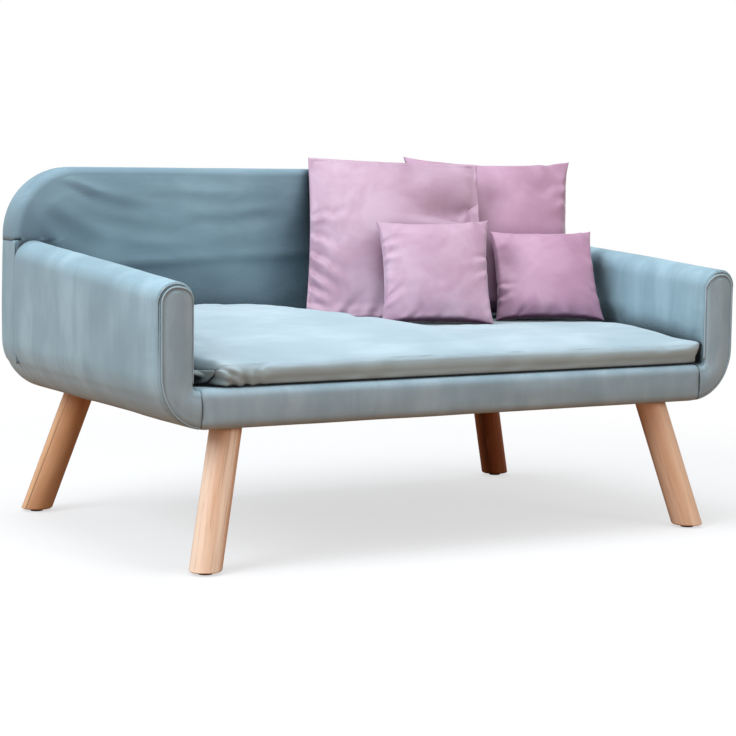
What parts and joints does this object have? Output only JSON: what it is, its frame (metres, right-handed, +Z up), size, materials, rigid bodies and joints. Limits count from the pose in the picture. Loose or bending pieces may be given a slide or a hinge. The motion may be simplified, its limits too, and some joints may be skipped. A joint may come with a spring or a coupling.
{
  "type": "dog sofa bed",
  "caption": "Velvet sofa-shaped dog bed: padded arms, high back and rounded lower corners on splayed round wooden legs, with a loose seat cushion and square scatter cushions.",
  "frame": {"origin": "on the floor, in the middle of the sofa's width and depth", "axes": "+X runs across the sofa to the right as seen from the front, +Y from the front to the back, +Z up from the floor"},
  "size_m": [1, 0.6293, 0.5715],
  "materials": {
    "sofa_velvet": "short cut pile, satin sheen",
    "seat_velvet": "short cut pile, soft sheen",
    "cushion_velvet": "short cut pile, bright sheen",
    "upholstery_foam": "open-cell polyurethane foam",
    "fibre_fill": "loose polyester fibre",
    "frame_pine": "planed, unfinished",
    "frame_plywood": "sawn, unfinished",
    "leg_wood": "turned, clear satin lacquer",
    "zinc_steel": "zinc plated",
    "glide_plastic": "moulded, matte",
    "dust_cloth": "thin spun-bonded cloth"
  },
  "bodies": {
    "sofa": {"base_front_rail": "frame_pine", "base_rear_rail": "frame_pine", "base_side_rail_left": "frame_pine", "base_side_rail_right": "frame_pine", "cross_slats": "frame_pine", "corner_blocks": "frame_pine", "deck_board": "frame_plywood", "corner_ribs_left": "frame_plywood", "corner_ribs_right": "frame_plywood", "arm_panel_left": "frame_plywood", "arm_panel_right": "frame_plywood", "back_board": "frame_plywood", "rib_screws": "zinc_steel", "deck_screws": "zinc_steel", "back_board_screws": "zinc_steel", "arm_foam_left": "upholstery_foam", "arm_foam_right": "upholstery_foam", "corner_foam_left": "upholstery_foam", "corner_foam_right": "upholstery_foam", "back_foam": "upholstery_foam", "rail_foam": "upholstery_foam", "deck_foam": "upholstery_foam", "arm_cover_left": "sofa_velvet", "arm_cover_right": "sofa_velvet", "arm_facing_left": "sofa_velvet", "arm_facing_right": "sofa_velvet", "arm_welt_left": "sofa_velvet", "arm_welt_right": "sofa_velvet", "rail_cover": "sofa_velvet", "deck_cover": "sofa_velvet", "back_cover": "sofa_velvet", "outer_back_cover": "sofa_velvet", "dust_cover": "dust_cloth", "staples": "zinc_steel", "leg_front_left": "leg_wood", "leg_front_right": "leg_wood", "leg_rear_left": "leg_wood", "leg_rear_right": "leg_wood", "hanger_bolts": "zinc_steel", "threaded_inserts": "zinc_steel", "leg_glides": "glide_plastic"},
    "seat_cushion": {"seat_cushion_cover": "seat_velvet", "seat_cushion_fill": "upholstery_foam"},
    "large_cushion_left": {"large_cushion_left_cover": "cushion_velvet", "large_cushion_left_fill": "fibre_fill"},
    "large_cushion_right": {"large_cushion_right_cover": "cushion_velvet", "large_cushion_right_fill": "fibre_fill"},
    "small_cushion_left": {"small_cushion_left_cover": "cushion_velvet", "small_cushion_left_fill": "fibre_fill"},
    "small_cushion_right": {"small_cushion_right_cover": "cushion_velvet", "small_cushion_right_fill": "fibre_fill"}
  },
  "joints": [
    {"name": "seat_cushion_lift", "type": "slide", "parent": "sofa", "child": "seat_cushion", "axis": [0, 0, 1], "range_m": [0, 0.25]},
    {"name": "large_cushion_left_lift", "type": "slide", "parent": "seat_cushion", "child": "large_cushion_left", "axis": [0.1853, 0.3886, 0.9026], "range_m": [0, 0.3]},
    {"name": "large_cushion_right_lift", "type": "slide", "parent": "seat_cushion", "child": "large_cushion_right", "axis": [0.181, 0.4163, 0.891], "range_m": [0, 0.3]},
    {"name": "small_cushion_left_lift", "type": "slide", "parent": "seat_cushion", "child": "small_cushion_left", "axis": [0, 0, 1], "range_m": [0, 0.3]},
    {"name": "small_cushion_right_lift", "type": "slide", "parent": "seat_cushion", "child": "small_cushion_right", "axis": [0, 0, 1], "range_m": [0, 0.3]}
  ]
}
